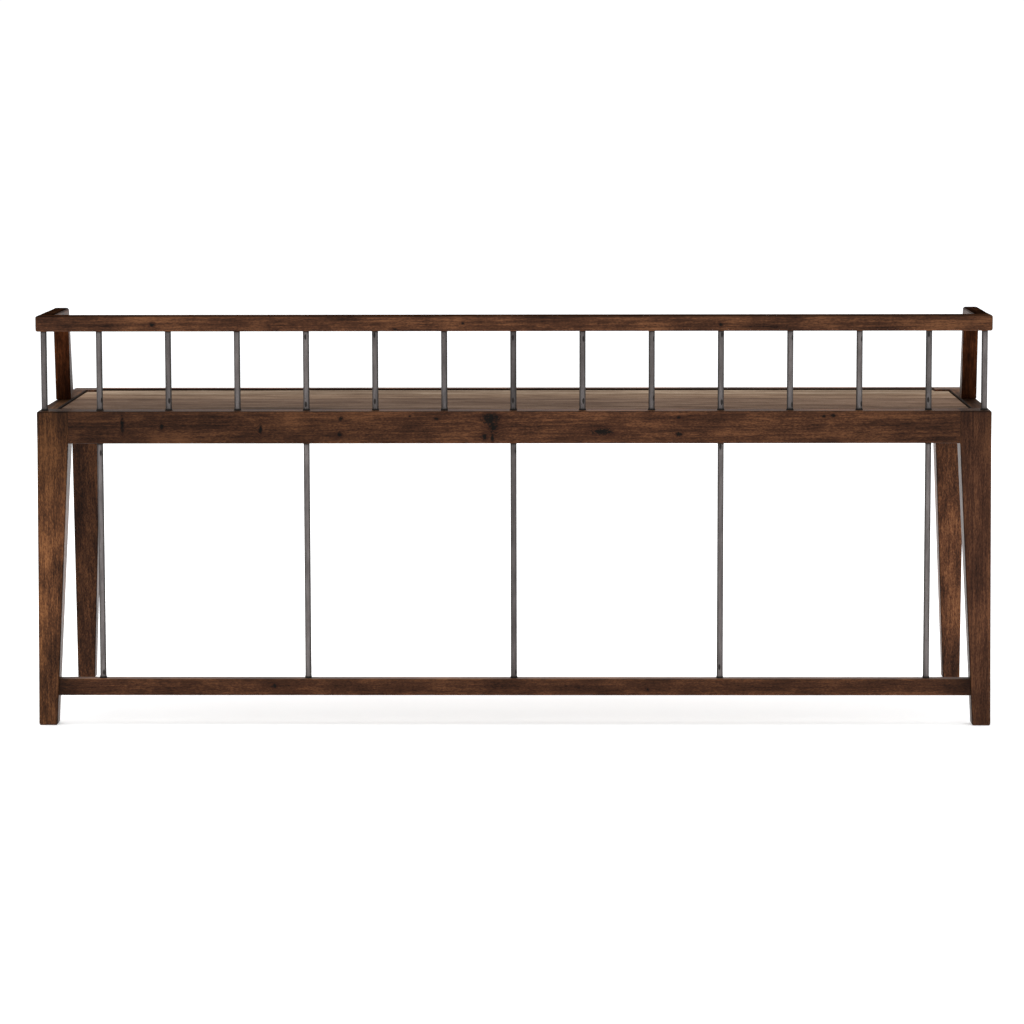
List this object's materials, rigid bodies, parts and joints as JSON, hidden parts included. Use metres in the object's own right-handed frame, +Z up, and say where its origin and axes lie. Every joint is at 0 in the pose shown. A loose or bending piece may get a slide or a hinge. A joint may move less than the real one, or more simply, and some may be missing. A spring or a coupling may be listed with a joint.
{
  "type": "entryway bench",
  "caption": "Long wooden bench with a recessed board seat, a low back of iron spindles, short arms, tapered legs and a rear stretcher hung with iron rods.",
  "frame": {"origin": "on the floor, under the middle of the bench's outer box", "axes": "+X along the seat, to the right as seen from the front; -Y towards the front, +Y towards the back; +Z up"},
  "size_m": [1.532, 0.512, 0.6605],
  "materials": {
    "frame_wood": "dark brown stained hardwood, satin lacquer",
    "arm_wood": "dark brown stained hardwood, satin lacquer",
    "seat_wood": "dark stained boards with a soft satin sheen",
    "hidden_wood": "unfinished planed hardwood",
    "iron": "gunmetal grey iron, waxed",
    "zinc": "bright zinc plated"
  },
  "bodies": {
    "root": {"rear_leg_left": "frame_wood", "rear_leg_right": "frame_wood", "front_leg_left": "frame_wood", "front_leg_right": "frame_wood", "rear_rail": "frame_wood", "front_rail": "frame_wood", "side_rail_left": "frame_wood", "side_rail_right": "frame_wood", "stretcher": "frame_wood", "top_rail": "frame_wood", "arm_left": "arm_wood", "arm_right": "arm_wood", "arm_post_left": "arm_wood", "arm_post_right": "arm_wood", "seat_board_1": "seat_wood", "seat_board_2": "seat_wood", "seat_board_3": "seat_wood", "seat_board_4": "seat_wood", "seat_board_5": "seat_wood", "seat_batten_1": "hidden_wood", "seat_batten_2": "hidden_wood", "seat_batten_3": "hidden_wood", "cleat_rear": "hidden_wood", "cleat_front": "hidden_wood", "cleat_left": "hidden_wood", "cleat_right": "hidden_wood", "block_rear_left": "hidden_wood", "block_rear_right": "hidden_wood", "block_front_left": "hidden_wood", "block_front_right": "hidden_wood", "spindle_01": "iron", "spindle_02": "iron", "spindle_03": "iron", "spindle_04": "iron", "spindle_05": "iron", "spindle_06": "iron", "spindle_07": "iron", "spindle_08": "iron", "spindle_09": "iron", "spindle_10": "iron", "spindle_11": "iron", "spindle_12": "iron", "spindle_13": "iron", "spindle_14": "iron", "spindle_15": "iron", "lower_rod_1": "iron", "lower_rod_2": "iron", "lower_rod_3": "iron", "lower_rod_4": "iron", "lower_rod_5": "iron", "corner_bolts": "zinc", "cleat_screws": "zinc", "batten_screws": "zinc"}
  },
  "joints": []
}
